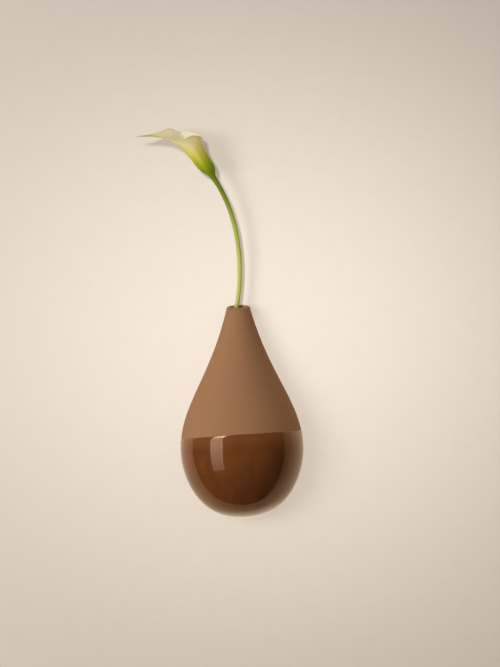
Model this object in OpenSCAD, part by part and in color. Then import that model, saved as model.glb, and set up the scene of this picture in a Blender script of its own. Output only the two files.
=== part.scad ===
// Hanging bud vase: a flat-backed stoneware bottle that hangs from one screw in a wall,
// with one calla bloom standing in it. Millimetres and degrees.
// +Z is up, the wall is the plane y = 0 with the vase on its -Y side,
// and the origin is where the screw enters the wall.

/* [Clay body] */
// Height from the foot to the back of the rim
body_h = 229.5; // [222:0.5:238]
// Greatest width of the clay
belly_d = 132.6; // [126:0.2:140]
// Height of the widest place above the foot
belly_at = 74; // [69:1:79]
// Diameter of the neck where its edge starts to round
neck_d = 25.3; // [24:0.1:26.6]
// Lean of the neck's side at the rim, from the vertical
neck_lean = 14.5; // [12:0.5:17]
// Thickness of the thrown wall
wall_t = 4.6; // [4:0.1:5.2]
// Thickness of the flat back
back_t = 5; // [4:0.5:5.5]
// How far the flat back lies behind the vase's own axis
back_set = 13.5; // [13:0.5:15]
// Diameter of the mouth
mouth_d = 15; // [14:0.2:15.8]
// Forward slant of the mouth
mouth_slant = 10; // [7:1:12]
// Radius of the rim's outer edge
rim_r = 3.2; // [2.8:0.1:3.5]
// Radius of the rim's inner edge
rim_in_r = 1.6; // [1.2:0.1:1.8]

/* [Glaze] */
// Height of the dip line above the foot, on the vase's axis
dip_h = 89; // [75:1:105]
// Rise of the dip line to the right
dip_rise = 2.6; // [1:0.1:5]
// Rise of the dip line to the front
dip_front_rise = 3.5; // [1:0.1:5]
// Thickness of the dipped glaze
dip_t = 0.45; // [0.35:0.05:0.7]
// Bare clay left between the glaze and the flat back
dip_bare = 2; // [1:0.5:4]
// Thickness of the watertight glaze inside
liner_t = 0.3; // [0.2:0.05:0.4]
// Depth of the inner glaze's edge below the rim
liner_drop = 10; // [8:1:14]

/* [Hanging] */
// Height of the screw above the foot
hang_h = 165; // [158:1:170]
// Diameter of the screw's shank
shank_d = 4; // [3.6:0.1:4.4]
// Diameter of the screw's head
head_d = 8.4; // [7.6:0.1:8.8]
// Thickness of the screw's head
head_t = 3; // [2.4:0.1:3.4]
// Lift that brings the wide end of the keyhole over the head
lift = 9; // [8.5:0.5:11]
// Diameter of the wall plug
plug_d = 6; // [5.6:0.2:7]
// Length of the wall plug inside the wall
plug_l = 28; // [24:1:34]
// Diameter of the wall plug's collar
collar_d = 9; // [8:0.5:10]
// Thickness of the wall plug's collar
collar_t = 1; // [0.8:0.1:1.2]
// Diameter of a bumper
bumper_d = 10; // [8:0.5:12]
// Thickness of a bumper, which sets the vase off the wall
bumper_t = 1.5; // [1.4:0.1:2.2]
// Height of the bumpers above the foot
bumper_up = 32; // [28:1:40]
// Distance of each bumper from the middle
bumper_side = 28; // [20:1:34]

/* [Flower] */
// Diameter of the stem
stem_d = 5.2; // [4.8:0.1:5.5]
// Lean of the stem in the mouth, to the right
stem_lean = 12; // [10:0.5:13]
// How far left of the axis the stem crosses the mouth
stem_left = 2.2; // [1.4:0.1:2.6]
// Radius of the stem's long bend
bend_r = 216; // [200:1:230]
// Turn of the long bend
bend_angle = 23.5; // [21:0.5:25]
// Radius of the bend under the bloom
crook_r = 158; // [145:1:170]
// Turn of the bend under the bloom
crook_angle = 21; // [19:0.5:23]
// Turn of the bends' plane, forward from the wall
bend_forward_angle = 7; // [4:0.5:10]
// Height of the bloom's side edges above the stem
bloom_h = 56.4; // [52:0.2:61]
// Width of the bloom's throat
throat_d = 16.6; // [15:0.2:18]
// Width of the bloom at its mouth
bloom_d = 28; // [25:0.5:30]
// Reach of the drawn-out tip from the throat's axis
tip_out = 45.6; // [41:0.2:49]
// Rise of the drawn-out tip above the side edges
tip_up = 26.8; // [24:0.2:30]
// Thickness of the spathe
spathe_t = 0.9; // [0.8:0.05:1]
// Diameter of the spadix
spadix_d = 6; // [5:0.2:6.6]
// Length of the spadix
spadix_l = 40; // [34:1:42]

/* [Hidden] */
$fn = 96;

// Free play between pieces that move, and what a cut overruns
gap = 0.3;
over = 1;

// Half sizes
belly_r = belly_d / 2;
neck_r = neck_d / 2;
mouth_r = mouth_d / 2;
shank_r = shank_d / 2;
stem_r = stem_d / 2;

// The rim's outer edge meets the neck's side at this angle of its own arc
rim_meets = 33;
rim_ends = 24;
rim_steps = 6;
rim_top = rim_r * (1 - sin(rim_meets));
rim_centre_r = neck_r - rim_r * cos(rim_meets);
rim_shift = neck_r * tan(neck_lean) * tan(mouth_slant);
rim_bite_share = 0.045;

// Height of the slanted section through the neck, at the vase's axis
neck_h = body_h - rim_r + (rim_r - rim_top) * cos(mouth_slant)
    - (rim_centre_r - rim_shift) * sin(mouth_slant);

// Outline of the clay: two curves that meet upright at the widest place, from a small flat spot
foot_flat_r = 2.5;
foot_pull_share = 0.745;
belly_low_share = 0.385;
belly_high_share = 0.32;
neck_pull_share = 0.527;
outline_steps = 20;
low_curve = [[foot_flat_r, 0], [foot_pull_share * belly_r, 0],
             [belly_r, belly_at * (1 - belly_low_share)], [belly_r, belly_at]];
high_curve = [[belly_r, belly_at],
              [belly_r, belly_at + belly_high_share * (neck_h - belly_at)],
              [neck_r, neck_h]
                  + neck_pull_share * (neck_h - belly_at) * [sin(neck_lean), -cos(neck_lean)],
              [neck_r, neck_h]];
outline_end = 2;
steps = [for (i = [0 : outline_end * outline_steps]) i / outline_steps];

function bezier(p, t) = pow(1 - t, 3) * p[0] + 3 * t * pow(1 - t, 2) * p[1]
    + 3 * t * t * (1 - t) * p[2] + pow(t, 3) * p[3];
function bezier_dir(p, t) = unit(pow(1 - t, 2) * (p[1] - p[0])
    + 2 * t * (1 - t) * (p[2] - p[1]) + t * t * (p[3] - p[2]));
function unit(v) = v / norm(v);

// A point of the outline, from the foot's flat spot at 0 over the widest place at 1
// to the neck's end, set inwards by a thickness
function outline(t, inset) = let (
        curve = t <= 1 ? low_curve : high_curve,
        part = t <= 1 ? t : t - 1,
        p = bezier(curve, part),
        d = bezier_dir(curve, part))
    [p[0] - inset * d[1], p[1] + inset * d[0]];

// The wall thickens in the neck, so that its inside ends at the mouth's bore
rim_wall = (neck_r - mouth_r) / cos(neck_lean);
function wall_at(t) = t <= 1 ? wall_t : wall_t + (rim_wall - wall_t) * (t - 1);

// The vase's own axis and back in the wall's frame
back_y = -bumper_t;
axis_y = back_y - back_set;
inner_back = back_set - back_t;
liner_top = body_h - liner_drop;

module in_vase() {
    translate([0, axis_y, -hang_h]) children();
}

// All that lies further behind the vase's axis than this
module behind(distance) {
    translate([-belly_d, distance, -body_h]) cube([2 * belly_d, belly_d, 3 * body_h]);
}

// The slanted frame of the mouth, with its origin on the vase's axis
module at_mouth() {
    translate([0, 0, neck_h]) rotate([mouth_slant, 0, 0]) children();
}

// The thrown form, grown or shrunk by an inset and run on above the neck
module thrown_form(inset) {
    neck_end = outline(outline_end, inset);
    run_on = neck_r;
    rotate_extrude() polygon(concat(
        [[0, inset]], [for (t = steps) outline(t, inset)],
        [neck_end + run_on * [-sin(neck_lean), cos(neck_lean)],
         [0, neck_end[1] + run_on * cos(neck_lean)]]));
}

// All that the slanted rim with its rounded outer edge keeps
module rim_limit() {
    edge = [for (i = [0 : rim_steps]) let (a = 90 - i * (90 - rim_ends) / rim_steps)
        [rim_centre_r + rim_r * cos(a), rim_top - rim_r + rim_r * sin(a)]];
    last = edge[rim_steps];
    at_mouth() translate([0, -rim_shift, 0]) rotate_extrude() polygon(concat(
        [[0, rim_top]], edge,
        [last + belly_d * [sin(60), -cos(60)],
         [last[0] + belly_d * sin(60), -2 * body_h], [0, -2 * body_h]]));
}

// The cut that rounds the mouth's inner edge
module mouth_edge() {
    edge_r = mouth_r * (1 - rim_bite_share) + rim_in_r;
    edge = [for (i = [0 : rim_steps]) let (a = 90 - i * (90 - rim_ends) / rim_steps)
        [edge_r - rim_in_r * cos(a), rim_top - rim_in_r + rim_in_r * sin(a)]];
    at_mouth() rotate_extrude() polygon(concat(
        [[0, rim_top + over], [edge_r, rim_top + over]], edge,
        [[0, edge[rim_steps][1]]]));
}

// The hollow: the thrown form less its wall, flat behind, with the mouth's straight bore
module hollow(skin) {
    difference() {
        rotate_extrude() polygon(concat(
            [[0, wall_t + skin]], [for (t = steps) outline(t, wall_at(t) + skin)],
            [[outline(outline_end, rim_wall + skin)[0], body_h + over], [0, body_h + over]]));
        behind(inner_back - skin);
    }
}

// The keyhole's cut, from its narrow end round the shank down to the hole for the head
module keyhole(margin) {
    slot_r = shank_r + gap + margin;
    entry_r = head_d / 2 + 2 * gap + margin;
    depth = back_t + 2 * over;
    translate([0, inner_back - over, hang_h]) {
        rotate([-90, 0, 0]) cylinder(r = slot_r, h = depth);
        translate([-slot_r, 0, -lift]) cube([2 * slot_r, depth, lift]);
        translate([0, 0, -lift]) rotate([-90, 0, 0]) cylinder(r = entry_r, h = depth);
    }
}

module above_dip() {
    translate([0, 0, dip_h]) rotate([-dip_front_rise, -dip_rise, 0])
        translate([-belly_d, -belly_d, 0]) cube([2 * belly_d, 2 * belly_d, body_h]);
}

module vase_body() {
    color([0.62, 0.47, 0.34]) in_vase() difference() {
        intersection() {
            thrown_form(0);
            rim_limit();
        }
        behind(back_set);
        hollow(0);
        mouth_edge();
        keyhole(0);
    }
}

module dip_glaze() {
    color([0.3, 0.16, 0.08]) in_vase() difference() {
        thrown_form(-dip_t);
        thrown_form(0);
        above_dip();
        behind(back_set - dip_bare);
    }
}

module liner_glaze() {
    color([0.72, 0.6, 0.48]) in_vase() difference() {
        hollow(0);
        hollow(liner_t);
        translate([-belly_d, -belly_d, liner_top]) cube([2 * belly_d, 2 * belly_d, body_h]);
        keyhole(over);
    }
}

// A clear cushion with a flat face to the wall and a rounded edge
bumper_edge_share = 0.35;
module bumper(side) {
    edge = bumper_edge_share * bumper_t;
    color([0.85, 0.87, 0.88]) translate([side * bumper_side, 0, bumper_up - hang_h])
        rotate([90, 0, 0]) rotate_extrude() polygon(concat(
            [[0, 0]],
            [for (a = [0 : 15 : 90]) [bumper_d / 2 - edge * (1 - sin(a)), edge * (1 - cos(a))]],
            [[bumper_d / 2, bumper_t], [0, bumper_t]]));
}
module bumper_left() { bumper(-1); }
module bumper_right() { bumper(1); }

// A split plug with grooves that grip the wall
plug_slack = 0.05;
plug_split_w = 0.8;
plug_split_share = 0.55;
groove_count = 5;
groove_deep = 0.4;
groove_pitch_share = 0.1;
module wall_plug() {
    plug_r = plug_d / 2;
    pitch = groove_pitch_share * plug_l;
    color([0.75, 0.75, 0.72]) rotate([-90, 0, 0]) difference() {
        union() {
            cylinder(r = plug_r, h = plug_l);
            translate([0, 0, -collar_t]) cylinder(d = collar_d, h = collar_t);
        }
        translate([0, 0, -collar_t - over])
            cylinder(r = shank_r + plug_slack, h = plug_l + collar_t + 2 * over);
        translate([-plug_d, -plug_split_w / 2, plug_l * (1 - plug_split_share)])
            cube([2 * plug_d, plug_split_w, plug_l]);
        for (i = [1 : groove_count]) translate([0, 0, plug_l - i * pitch]) difference() {
            cylinder(r = plug_r + over, h = pitch / 3);
            translate([0, 0, -over]) cylinder(r = plug_r - groove_deep, h = pitch + 2 * over);
        }
    }
}

// A pan-head screw with a crossed recess, its head just clear of the hollow's back
head_y = bumper_t + back_t + liner_t + gap;
screw_point = 4;
recess_w = 1.1;
recess_l = 5;
recess_deep = 1.6;
module wall_screw() {
    head_r = head_d / 2;
    screw_l = plug_l - over;
    color([0.7, 0.68, 0.62]) rotate([90, 0, 0]) difference() {
        rotate_extrude() polygon(concat(
            [[0, -screw_l], [shank_r, screw_point - screw_l], [shank_r, head_y],
             [head_r, head_y]],
            [for (a = [0 : 15 : 90])
                [head_r * pow(cos(a), 0.5), head_y + head_t / 2 + head_t / 2 * sin(a)]]));
        for (turn = [0, 90]) rotate([0, 0, turn])
            translate([-recess_l / 2, -recess_w / 2, head_y + head_t - recess_deep])
                cube([recess_l, recess_w, head_t]);
    }
}

// The stem crosses the mouth on the left and leans on the back of its bore
stem_back = sqrt(pow(mouth_r - stem_r / cos(stem_lean) - gap, 2)
    - pow(stem_left + 2 * rim_top * tan(stem_lean), 2));
stem_cross = [-stem_left, stem_back, neck_h];
stem_dir = [sin(stem_lean), 0, cos(stem_lean)];
stem_side = cos(bend_forward_angle) * [-cos(stem_lean), 0, sin(stem_lean)]
    + sin(bend_forward_angle) * [0, -1, 0];

// Where the straight stem meets the hollow's floor: t of the outline, halved in on
foot_gap = 0.5;
function floor_at(t) = outline(t, wall_at(t) + liner_t + foot_gap);
function floor_x(p) = -sqrt(max(pow(p[0], 2) - pow(stem_back, 2), 0));
function stem_x(h) = -stem_left - (neck_h - h) * tan(stem_lean);
function foot_t(lo, hi, n) = let (t = (lo + hi) / 2, p = floor_at(t))
    n == 0 ? t : stem_x(p[1]) < floor_x(p) ? foot_t(t, hi, n - 1) : foot_t(lo, t, n - 1);
foot_turns = 24;
foot_share = foot_t(0, 1, foot_turns);
foot_floor = floor_at(foot_share);
foot = [floor_x(foot_floor), stem_back, foot_floor[1]];
foot_rise = bezier_dir(low_curve, foot_share);
foot_up = unit([-foot_rise[1] * foot[0] / foot_floor[0],
                -foot_rise[1] * foot[1] / foot_floor[0], foot_rise[0]]);

// A frame with its origin at p, its z along z and its x along x
module placed(p, z, x) {
    y = cross(z, x);
    multmatrix([[x[0], y[0], z[0], p[0]],
                [x[1], y[1], z[1], p[1]],
                [x[2], y[2], z[2], p[2]],
                [0, 0, 0, 1]]) children();
}

// A round bend that starts upwards and turns towards +x, with its first end run back a little
// into the stouter stretch that carries it
module bend(radius, angle, r) {
    back = over / (PI * radius) * 180;
    translate([radius, 0, 0]) rotate([90, 0, 180]) rotate([0, 0, -back])
        rotate_extrude(angle = angle + back, $fn = 4 * $fn) translate([radius, 0]) circle(r = r);
}

// The stem's frames after each bend
function after(p, z, x, radius, angle) = [p + radius * ((1 - cos(angle)) * x + sin(angle) * z),
    cos(angle) * z + sin(angle) * x, cos(angle) * x - sin(angle) * z];
stem_taper = 0.05;
stem_top_r = stem_r - 2 * stem_taper;
crook = after(stem_cross, stem_dir, stem_side, bend_r, bend_angle);
bloom = after(crook[0], crook[1], crook[2], crook_r, crook_angle);

module flower_stem() {
    inner_l = norm(stem_cross - foot);
    color([0.5, 0.6, 0.12]) in_vase() {
        difference() {
            placed(stem_cross - (inner_l + stem_d) * stem_dir, stem_dir, stem_side)
                cylinder(r = stem_r, h = inner_l + stem_d);
            placed(foot, foot_up, unit(cross([0, 1, 0], foot_up)))
                translate([-stem_d * 2, -stem_d * 2, -stem_d * 4]) cube(stem_d * 4);
        }
        placed(stem_cross, stem_dir, stem_side) bend(bend_r, bend_angle, stem_r - stem_taper);
        placed(crook[0], crook[1], crook[2]) bend(crook_r, crook_angle, stem_top_r);
    }
}

// The spathe is one thin sheet rolled to a funnel. Angle 0 is its back, where the rim is drawn
// out to the tip, and 90 is the side away from the wall, where the rim is lower. The rim
// dips in one fold on the wall's side.
columns = 32;
rows = 18;
swell_h = 9;
swell_back_h = 2.5;
throat_shift_share = 0.05;
flare_power = 4.6;
tip_spread_angle = 13;
front_dip_share = 0.215;
back_rise_share = 0.15;
near_drop_share = 0.095;
lip_twist_share = 0.18;
fold_dip_h = 2.4;
fold_angle = -78;
fold_spread_angle = 12;
spathe_r = stem_top_r - spathe_t / 2;
function tip_pull(a) = exp(-abs(a) / tip_spread_angle);
function rim_height(a) = bloom_h * (1 + (cos(a) < 0 ? -front_dip_share * pow(cos(a), 2)
        : back_rise_share * cos(a)) - sin(a) * (near_drop_share + lip_twist_share * max(cos(a), 0)))
    + (tip_up - back_rise_share * bloom_h) * tip_pull(a)
    - fold_dip_h * exp(-pow((a - fold_angle) / fold_spread_angle, 2));
function rim_radius(a) = bloom_d / 2 + (tip_out - bloom_d / 2) * tip_pull(a);
function throat_radius(a) = throat_d / 2 * (1 + throat_shift_share * cos(a));
function sheet(a, u) = let (h = u * rim_height(a), mouth = throat_radius(a),
        r = spathe_r + (mouth - spathe_r) * (1 - exp(-pow(h / (swell_h + swell_back_h * cos(a)), 2)))
            + (rim_radius(a) - mouth) * pow(u, flare_power))
    [r * cos(a), r * sin(a), h];
function column_angle(j) = let (v = 2 * j / columns - 1) 180 * sign(v) * pow(abs(v), 1.6);
probe = 0.002;
function sheet_normal(a, u) = unit(cross(sheet(a + 1, u) - sheet(a - 1, u),
    sheet(a, u + probe) - sheet(a, max(u - probe, 0))));
function sheet_skin(side) = [for (i = [0 : rows]) for (j = [0 : columns - 1])
    let (a = column_angle(j), u = i / rows,
         out = i == 0 ? [cos(a), sin(a), 0] : sheet_normal(a, u))
    sheet(a, u) + side * spathe_t / 2 * out];

module spathe() {
    inner = (rows + 1) * columns;
    color([0.85, 0.82, 0.5]) in_vase() placed(bloom[0], bloom[1], bloom[2]) polyhedron(
        points = concat(sheet_skin(1), sheet_skin(-1)),
        faces = concat(
            [for (i = [0 : rows - 1]) for (j = [0 : columns - 1]) let (k = (j + 1) % columns,
                a = i * columns + j, b = i * columns + k, c = a + columns, d = b + columns)
                each [[a, c, b], [b, c, d], [a, b, c] + inner * [1, 1, 1],
                      [b, d, c] + inner * [1, 1, 1]]],
            [for (j = [0 : columns - 1]) let (k = (j + 1) % columns,
                c = rows * columns + j, d = rows * columns + k)
                each [[j, k, j + inner], [k, k + inner, j + inner],
                      [c, c + inner, d], [d, c + inner, d + inner]]]));
}

// The spadix: a thin stalk that thickens into a blunt finger
spadix_stalk_share = 0.42;
spadix_neck_share = 0.2;
spadix_full_share = 0.4;
module spadix() {
    full_r = spadix_d / 2;
    stalk_r = spadix_stalk_share * full_r;
    color([0.88, 0.68, 0.12]) in_vase() placed(bloom[0], bloom[1], bloom[2])
        rotate_extrude($fn = 32) polygon(concat(
            [[0, 0], [stalk_r, 0]],
            [for (i = [0 : 8]) let (s = i / 8)
                [stalk_r + (full_r - stalk_r) * (1 - cos(180 * s)) / 2,
                 spadix_l * (spadix_neck_share + s * (spadix_full_share - spadix_neck_share))]],
            [for (a = [0 : 15 : 90])
                [full_r * cos(a), spadix_l - spadix_d + spadix_d * sin(a)]]));
}

vase_body();
dip_glaze();
liner_glaze();
bumper_left();
bumper_right();
wall_plug();
wall_screw();
flower_stem();
spathe();
spadix();
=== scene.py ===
from math import asin, cos, pi, radians, sin, sqrt, tan

import bmesh
import bpy
import numpy as np
from mathutils import Matrix, Vector


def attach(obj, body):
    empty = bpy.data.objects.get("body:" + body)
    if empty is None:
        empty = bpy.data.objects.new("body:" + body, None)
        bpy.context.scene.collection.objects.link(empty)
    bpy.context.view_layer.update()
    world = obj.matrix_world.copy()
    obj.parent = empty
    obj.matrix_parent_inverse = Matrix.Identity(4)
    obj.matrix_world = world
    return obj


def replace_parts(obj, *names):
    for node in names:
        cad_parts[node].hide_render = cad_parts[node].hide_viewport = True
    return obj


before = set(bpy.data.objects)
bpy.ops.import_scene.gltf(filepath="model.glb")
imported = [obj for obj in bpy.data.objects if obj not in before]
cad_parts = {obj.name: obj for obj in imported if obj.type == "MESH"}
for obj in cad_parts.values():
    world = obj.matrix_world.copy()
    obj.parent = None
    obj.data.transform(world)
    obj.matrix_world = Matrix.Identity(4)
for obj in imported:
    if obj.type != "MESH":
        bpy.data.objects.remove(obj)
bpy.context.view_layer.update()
scene = bpy.context.scene
scene.view_settings.view_transform = "Standard"
mm = 0.001


# Camera: square to the wall and far enough off to see the vase almost without perspective.
# The photograph leans a little, so the camera is turned about its own line of sight.
camera_far = 1.7
camera_aim = Vector((11.9, -18, 33.2)) * mm
camera_turn = radians(1.5)
wall_in_view = 0.722
sensor_long = 36
camera_data = bpy.data.cameras.new("camera")
camera_data.sensor_width = sensor_long
camera_data.lens = sensor_long * camera_far / wall_in_view
camera = bpy.data.objects.new("camera", camera_data)
scene.collection.objects.link(camera)
upright = Matrix.Rotation(radians(90), 4, "X")
camera.matrix_world = (Matrix.Translation(camera_aim - Vector((0, camera_far, 0)))
                       @ Matrix.Rotation(camera_turn, 4, "Y") @ upright)
scene.camera = camera


# The wall: smooth painted plaster in warm cream, with a painted pool of light that fades
# outwards, its lower part painted brighter and warmer, and a faint painted glow of its own.
# Of its two parts, only the near wall, right behind the vase, shows in a glossy surface, and
# there it is a painted reflection, brighter and warmer, with a painted bright spot below the
# vase. The far wall runs on beyond it and into the floor, and is only looked at.
wall_cream = (0.819, 0.721, 0.615, 1)
painted_low_light_tint = (1.06, 1.035, 0.98, 1)
painted_low_light_from, painted_low_light_full = -0.05, -0.36
# The painted pool of light on the wall: its middle, reach and dimmer edge.
painted_pool_centre = Vector((86, 0, 33)) * mm
painted_pool_reach, painted_pool_edge = 0.49, 0.59
painted_pool_wide = (0.92, 1, 1)
lamp_share, painted_glow_strength = 0.452, 0.1
patches_low, roller_deep = 0.985, 0.2 * mm
noise_low, noise_high = 0.3, 0.7
room_fill = (0.37, 0.355, 0.34, 1)
near_wall_left, near_wall_right = -0.285, 0.9
near_wall_low, near_wall_high = -1.4, 1.1
far_wall_reach = 3.0
far_wall_behind = 0.5 * mm
floor_low = -0.62
cove_r = 0.12
# How glossy rays see the wall: a painted reflection, brighter and warmer, with a bright spot.
gloss_painted_tint = (1.2, 1.05, 0.86, 1)
gloss_painted_left_tint = (1.04, 0.94, 0.82, 1)
gloss_left, gloss_right = -0.12, 0.02
painted_spot_place = Vector((14, 0, -203)) * mm
painted_spot_tint = (1.9, 1.8, 1.6, 1)
painted_spot_reach, painted_spot_full = 0.07, 0.02


def put(tree, kind, feeds=None, **settings):
    """Adds a shader node. feeds are its inputs, by name or place, each a plain value or the
    socket, or node, that it is linked to."""
    made = tree.nodes.new("ShaderNode" + kind)
    for name, value in settings.items():
        setattr(made, name, value)
    for name, value in (feeds or {}).items():
        if isinstance(value, bpy.types.Node):
            value = value.outputs[0]
        if isinstance(value, bpy.types.NodeSocket):
            tree.links.new(value, made.inputs[name])
        else:
            made.inputs[name].default_value = value
    return made


def calc(tree, operation, a, b=0.0, c=0.0):
    return put(tree, "Math", {0: a, 1: b, 2: c}, operation=operation).outputs[0]


def times(tree, a, b):
    return calc(tree, "MULTIPLY", a, b)


def fade(tree, value, start, end, low=0.0, high=1.0, kind="SMOOTHSTEP"):
    """A value that runs from low at start to high at end, and stays there outside them."""
    return put(tree, "MapRange", {0: value, 1: start, 2: end, 3: low, 4: high},
               interpolation_type=kind).outputs[0]


def blend(tree, share, a, b, how="MIX"):
    """Colour a changed to colour b by a share."""
    return put(tree, "Mix", {0: share, 6: a, 7: b}, data_type="RGBA", blend_type=how).outputs[2]


def noise(tree, place, scale, detail, roughness=0.5):
    return put(tree, "TexNoise", {"Vector": place, "Scale": scale, "Detail": detail,
                                  "Roughness": roughness}).outputs[0]


def cloud(tree, place, scale, detail, low=0.0, high=1.0, roughness=0.5):
    """Soft patches that run from low to high."""
    return fade(tree, noise(tree, place, scale, detail, roughness), noise_low, noise_high,
                low, high)


def relief(tree, height, strength, depth):
    """Fine bumps that the light feels but the outline doesn't."""
    return put(tree, "Bump", {"Strength": strength, "Distance": depth, "Height": height})


def here(tree):
    """The shaded place, in the part's frame."""
    return put(tree, "TexCoord").outputs["Object"]


def split(tree, place):
    return put(tree, "SeparateXYZ", {0: place}).outputs


def distance(tree, place, point):
    return put(tree, "VectorMath", {0: place, 1: point}, operation="DISTANCE").outputs["Value"]


def material(name, paint, *values):
    """A new material. paint adds its nodes and returns the last one."""
    made = bpy.data.materials.new(name)
    made.use_nodes = True
    tree = made.node_tree
    tree.nodes.clear()
    put(tree, "OutputMaterial", {0: paint(tree, *values)})
    return made


def solid(name, points, faces, finishes, sharp=None):
    """A shown mesh in the part's frame, with smooth shading that breaks at sharp angles."""
    mesh = bpy.data.meshes.new(name)
    mesh.from_pydata([tuple(p) for p in points], [], faces)
    mesh.validate()
    for finish in finishes:
        mesh.materials.append(finish)
    mesh.shade_smooth()
    if sharp:
        mesh.set_sharp_from_angle(angle=radians(sharp))
    made = bpy.data.objects.new(name, mesh)
    scene.collection.objects.link(made)
    return made


def wall_paint(tree):
    """Wall paint with a painted pool of light, a lower part painted brighter and warmer and a
    faint painted glow. Glossy rays see a painted reflection, brighter and warmer, with a
    painted bright spot below the vase. It has a roller's faint marks. Diffuse and shadow
    rays pass it, and so does sight from behind."""
    place = here(tree)
    x, _, z = split(tree, place)
    # Painted pool of light: the colour fades from the pool's middle outwards.
    squeezed = put(tree, "VectorMath", {0: place, 1: painted_pool_wide}, operation="MULTIPLY")
    pool = fade(tree, distance(tree, squeezed, painted_pool_centre), 0.0, painted_pool_reach, 1.0, painted_pool_edge)
    patches = cloud(tree, place, scale=60.0, detail=3.0, low=patches_low)
    # Painted light: the lower wall is painted brighter and warmer.
    colour = blend(tree, fade(tree, z, painted_low_light_from, painted_low_light_full), wall_cream, painted_low_light_tint,
                   "MULTIPLY")
    lit = put(tree, "VectorMath", {0: colour, "Scale": times(tree, times(tree, pool, patches),
                                                             lamp_share)}, operation="SCALE")
    # Painted reflection: glossy rays see the wall brighter, with a bright spot below the vase.
    painted_reflection = blend(tree, fade(tree, x, gloss_left, gloss_right), gloss_painted_left_tint,
                     gloss_painted_tint)
    under = fade(tree, distance(tree, place, painted_spot_place), painted_spot_reach, painted_spot_full)
    painted_reflection = blend(tree, under, painted_reflection, painted_spot_tint)
    path = put(tree, "LightPath").outputs
    shown = blend(tree, path["Is Glossy Ray"], lit, painted_reflection, "MULTIPLY")
    roller = relief(tree, noise(tree, place, scale=420.0, detail=2.0), 0.06, roller_deep)
    paint = put(tree, "BsdfDiffuse", {"Color": shown, "Normal": roller})
    # Painted glow: the wall gives off a little light of its own, which lightens its shadows.
    glow = put(tree, "Emission", {"Color": blend(tree, 1.0, shown, room_fill, "MULTIPLY"),
                                  "Strength": painted_glow_strength})
    paint = put(tree, "AddShader", {0: paint, 1: glow})
    passed = calc(tree, "MAXIMUM", path["Is Diffuse Ray"], path["Is Shadow Ray"])
    passed = calc(tree, "MAXIMUM", passed, put(tree, "NewGeometry").outputs["Backfacing"])
    return put(tree, "MixShader", {0: passed, 1: paint, 2: put(tree, "BsdfTransparent")})


def sheet_on_wall(name, profile, left, right, finish):
    """A surface run from left to right along a profile of (y, z) places."""
    points = [(x, y, z) for y, z in profile for x in (left, right)]
    faces = [(2 * i, 2 * i + 2, 2 * i + 3, 2 * i + 1) for i in range(len(profile) - 1)]
    made = solid(name, points, faces, [finish])
    return made


paint = material("wall_paint", wall_paint)
near_wall = sheet_on_wall("near_wall", [(0, near_wall_high), (0, near_wall_low)],
                          near_wall_left, near_wall_right, paint)
far_profile = [(far_wall_behind, far_wall_reach)]
far_profile += [(far_wall_behind - cove_r * (1 - cos(radians(a))),
                 floor_low + cove_r * (1 - sin(radians(a)))) for a in range(0, 91, 10)]
far_profile.append((-far_wall_reach, floor_low))
far_wall = sheet_on_wall("far_wall_and_floor", far_profile, -far_wall_reach, far_wall_reach,
                         paint)
far_wall.visible_glossy = False


# The light: a tall window on the left lights the part and shows in its glaze. The walls have
# that window twice more, softer, and a small high sun: one of them is shaded by the vase
# alone, and the others by the flower. The glaze also mirrors a bright wall on the right.
window_far = 1.25
window_from, window_to = radians(35), radians(59)
window_low, window_high = radians(-27), radians(56)
lamp_from, lamp_to, lamp_strength = radians(31), radians(55), 16.3
soft_from, soft_to, soft_strength = radians(42), radians(61), 13.4
broad_from, broad_to, broad_strength = radians(20), radians(50), 11.6
soft_low, soft_high = radians(-4), radians(20)
window_seen = (5.2, 5.4, 6.2, 1)
sill_bright, middle_bright, top_bright = 0.2, 0.76, 1.8
middle_at, top_from, top_full = 0.42, 0.44, 0.54
streak_count, streak_dim, streak_bright = 9.0, 0.72, 1.16
key_left, key_up, key_width = radians(13.5), radians(11.5), radians(6.8)
key_strength = 3.9
wall_glow = (0.64, 0.565, 0.485, 1)
room_in_gloss = (0.03, 0.027, 0.024, 1)
room_looked_at, room_edge = (0.9, 0.86, 0.8, 1), 0.15
bounce_x, bounce_low, bounce_out = 0.19, 0.6, 0.075
bounce_bright, bounce_dim = (0.86, 0.66, 0.46, 1), 0.42
belly_middle = Vector((0, -15, -91)) * mm


def only_in_gloss(thing):
    for kind in ("camera", "diffuse", "glossy", "transmission", "shadow"):
        setattr(thing, "visible_" + kind, kind == "glossy")


def lamp(name, kind, place, aim):
    data = bpy.data.lights.new(name, kind)
    made = bpy.data.objects.new(name, data)
    scene.collection.objects.link(made)
    made.location = place
    made.rotation_mode = "QUATERNION"
    made.rotation_quaternion = (Vector(aim) - Vector(place)).to_track_quat("-Z", "Y")
    made.visible_camera = made.visible_glossy = False
    return made


def linked(name, things, state="INCLUDE"):
    """A group of things that a lamp is to light, or leave out."""
    group = bpy.data.collections.new(name)
    for thing in things:
        group.objects.link(thing)
    for member in group.collection_objects:
        member.light_linking.link_state = state
    return group


walls = linked("walls", (near_wall, far_wall))
all_but_walls = linked("all_but_walls", (near_wall, far_wall), "EXCLUDE")
flower_shades = bpy.data.collections.new("flower_shades")
vase_shades = bpy.data.collections.new("vase_shades")


def window_at(side_from, side_to, low, high):
    """The middle of a window that spans these directions from the belly, the way from the
    belly to its foot, its width and its height."""
    side = (side_from + side_to) / 2
    out = Vector((-sin(side), -cos(side), 0))
    width = 2 * window_far * tan((side_to - side_from) / 2)
    lift = Vector((0, 0, window_far * (tan(low) + tan(high)) / 2))
    return belly_middle + window_far * out + lift, out, width, window_far * (tan(high) - tan(low))


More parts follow.
